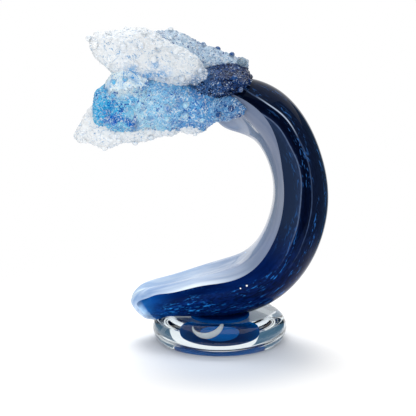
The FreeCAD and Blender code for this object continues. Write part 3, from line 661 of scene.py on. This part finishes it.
def foam_glass(name, left, right, stops, patches, pale, dark, specks=(0.54, 0.56), hollow_shade=0.35, clear=0.4):
    """Make bubbly glass whose colour runs from left to right, with soft patches, fine grains and painted
    shade in its hollows.

    Specks are the noise levels past which pale and dark grains show, hollow_shade is how far the dark colour
    is painted into the hollows as shade, and clear is the share of light that goes through.
    """
    material, tree = new_material(name)
    where = add_node(tree, "ShaderNodeTexCoord").outputs["Object"]
    drift = add_node(tree, "ShaderNodeTexNoise", {
        "Vector": where, "Scale": DRIFT_SCALE, "Detail": 4.0}).outputs["Color"]
    shift = add_node(tree, "ShaderNodeVectorMath", {0: drift, 1: (0.5,) * 3}, operation="SUBTRACT").outputs[0]
    shift = add_node(tree, "ShaderNodeVectorMath", {
        0: shift, 1: (DRIFT_REACH,) * 3, 2: where}, operation="MULTIPLY_ADD").outputs[0]
    split = add_node(tree, "ShaderNodeSeparateXYZ", {0: shift})
    along = add_node(tree, "ShaderNodeMapRange", {
        "Value": split.outputs[0], "From Min": left, "From Max": right}).outputs["Result"]
    tint = ramp(tree, along, *stops)
    for centre, reach, stretch, colour in patches:
        tint = blend(tree, soft_patch(tree, shift, centre, reach, stretch), tint, colour)
    tint = blend(tree, grains(tree, where, PALE_GRAIN_SCALE, specks[0], 0.08, 0.8), tint, pale)
    tint = blend(tree, grains(tree, shift, DARK_GRAIN_SCALE, specks[1], 0.06, 1.0), tint, dark)
    # Painted shade: the dark colour is laid into the hollows that the crust sinks with the same noise.
    lumps = add_node(tree, "ShaderNodeTexNoise", {
        "Vector": where, "Scale": HOLLOW_SCALE, "Detail": 2.0}).outputs[0]
    tint = blend(tree, ramp(tree, lumps, (0.50, 0.0), (0.64, hollow_shade)), tint, dark)
    cells = add_node(tree, "ShaderNodeTexVoronoi", {
        "Vector": where, "Scale": DENT_SCALE, "Randomness": 1.0}).outputs["Distance"]
    dents = add_node(tree, "ShaderNodeBump", {
        "Height": cells, "Strength": 0.25, "Distance": 0.0015}).outputs[0]
    surface(tree, add_node(tree, "ShaderNodeBsdfPrincipled", {
        "Base Color": tint, "Roughness": 0.03, "IOR": 1.3, "Transmission Weight": clear, "Normal": dents}))
    return material


# Patches of colour: centre, reach, stretch along each axis, and colour.
LEFT_AQUA = ((-0.099, -0.030, 0.215), 0.038, (1.0, 1.6, 1.0), srgb(72, 200, 255))
LEFT_DEEP = ((-0.085, -0.030, 0.199), 0.017, (1.5, 1.8, 0.6), srgb(0, 120, 215))
UPPER_BLUE = ((-0.062, -0.030, 0.242), 0.026, (1.5, 1.8, 0.8), srgb(50, 140, 220))
PALE_STEP = ((-0.085, -0.030, 0.236), 0.026, (1.0, 1.8, 1.0), srgb(234, 250, 255))
CREST_EDGE = ((-0.067, -0.028, 0.236), 0.021, (1.6, 1.4, 0.6), srgb(92, 170, 230))
CREST_END = ((-0.008, -0.020, 0.232), 0.026, (1.0, 1.4, 0.9), srgb(120, 152, 192))

white_foam = foam_glass(
    "clear_foam", -0.13, 0.0, ((0.0, srgb(252, 254, 255)), (1.0, srgb(238, 246, 252))),
    (CREST_EDGE, CREST_END), srgb(255, 255, 255), srgb(150, 186, 222),
    specks=(0.5, 0.59), hollow_shade=0.1, clear=0.3)
grey_foam = foam_glass(
    "grey_foam", -0.09, 0.03,
    ((0.0, srgb(236, 246, 252)), (0.35, srgb(208, 230, 246)), (0.6, srgb(186, 212, 234)),
     (1.0, srgb(176, 202, 226))),
    (), srgb(252, 254, 255), srgb(20, 68, 138), specks=(0.53, 0.56), hollow_shade=0.25, clear=0.35)
blue_foam = foam_glass(
    "blue_foam", -0.11, 0.02,
    ((0.0, srgb(150, 228, 255)), (0.25, srgb(204, 244, 255)), (0.45, srgb(154, 216, 250)),
     (0.65, srgb(104, 178, 232)), (0.85, srgb(78, 156, 222)), (1.0, srgb(60, 130, 200))),
    (LEFT_AQUA, UPPER_BLUE, PALE_STEP, LEFT_DEEP), srgb(242, 251, 255), srgb(10, 84, 178),
    specks=(0.52, 0.57))
aqua_foam = foam_glass(
    "aqua_foam", -0.11, -0.05,
    ((0.0, srgb(120, 218, 255)), (0.6, srgb(150, 224, 254)), (1.0, srgb(186, 234, 254))),
    (LEFT_AQUA, LEFT_DEEP), srgb(236, 251, 255), srgb(0, 92, 196), specks=(0.50, 0.56))
pale_foam = foam_glass(
    "pale_foam", -0.11, -0.05, ((0.0, srgb(234, 250, 255)), (1.0, srgb(228, 247, 255))),
    (PALE_STEP,), srgb(252, 254, 255), srgb(64, 160, 230), clear=0.2)
dark_foam = foam_glass(
    "dark_foam", -0.025, 0.025,
    ((0.0, srgb(84, 136, 194)), (0.5, srgb(46, 84, 146)), (1.0, srgb(22, 46, 98))),
    (), srgb(210, 228, 246), srgb(4, 16, 50), specks=(0.57, 0.5), clear=0.35)
front_foam = foam_glass(
    "front_foam", -0.025, 0.02,
    ((0.0, srgb(146, 200, 240)), (0.5, srgb(124, 184, 232)), (1.0, srgb(78, 136, 196))),
    (), srgb(226, 240, 252), srgb(28, 82, 152), specks=(0.54, 0.54), clear=0.35)

foam_lobe("foam_root", "crest_root", dark_foam, "dark_foam", 1)
foam_lobe("foam_front", "front_lobe", front_foam, "dark_foam", 2)
foam_lobe("foam_blue", "blue_mass", blue_foam, "blue_foam", 3)
foam_lobe("foam_aqua", "aqua_heart", aqua_foam, "aqua_foam", 4)
foam_lobe("foam_spur", "pale_spur", pale_foam, "pale_foam", 5)
foam_lobe("foam_back_crest", "back_crest", grey_foam, "grey_foam", 6)
foam_lobe("foam_clear_crest", "clear_crest", white_foam, "clear_foam", 7)
foam_lobe("foam_skirt", "clear_skirt", white_foam, "clear_foam", 8)
foam_lobe("foam_under_clump", "under_clump", white_foam, "clear_foam", 9)

# Grains
# Larger beads of the same crushed glass that stand out of the lobes, and one big clear bead at the right
# end of the back crest.
GRAIN_TOP = ((0.0, 0.015, 0.266), 0.04, (1.0, 1.0, 0.5), srgb(160, 190, 220))

grain_foam = foam_glass(
    "grain_foam", -0.025, 0.025, ((0.0, srgb(60, 116, 180)), (1.0, srgb(36, 76, 140))),
    (GRAIN_TOP,), srgb(226, 240, 252), srgb(8, 40, 100), clear=0.4)
finish_piece(merged_copy("grains_clear", "frit_clear"), white_foam, "clear_foam", "frit_clear")
finish_piece(merged_copy("grains_aqua", "frit_aqua"), aqua_foam, "aqua_foam", "frit_aqua")
finish_piece(merged_copy("grains_cobalt", "frit_cobalt"), grain_foam, "dark_foam", "frit_cobalt")
finish_piece(merged_copy("big_bubble", "crest_bubble"), clear, "grey_foam", "crest_bubble")
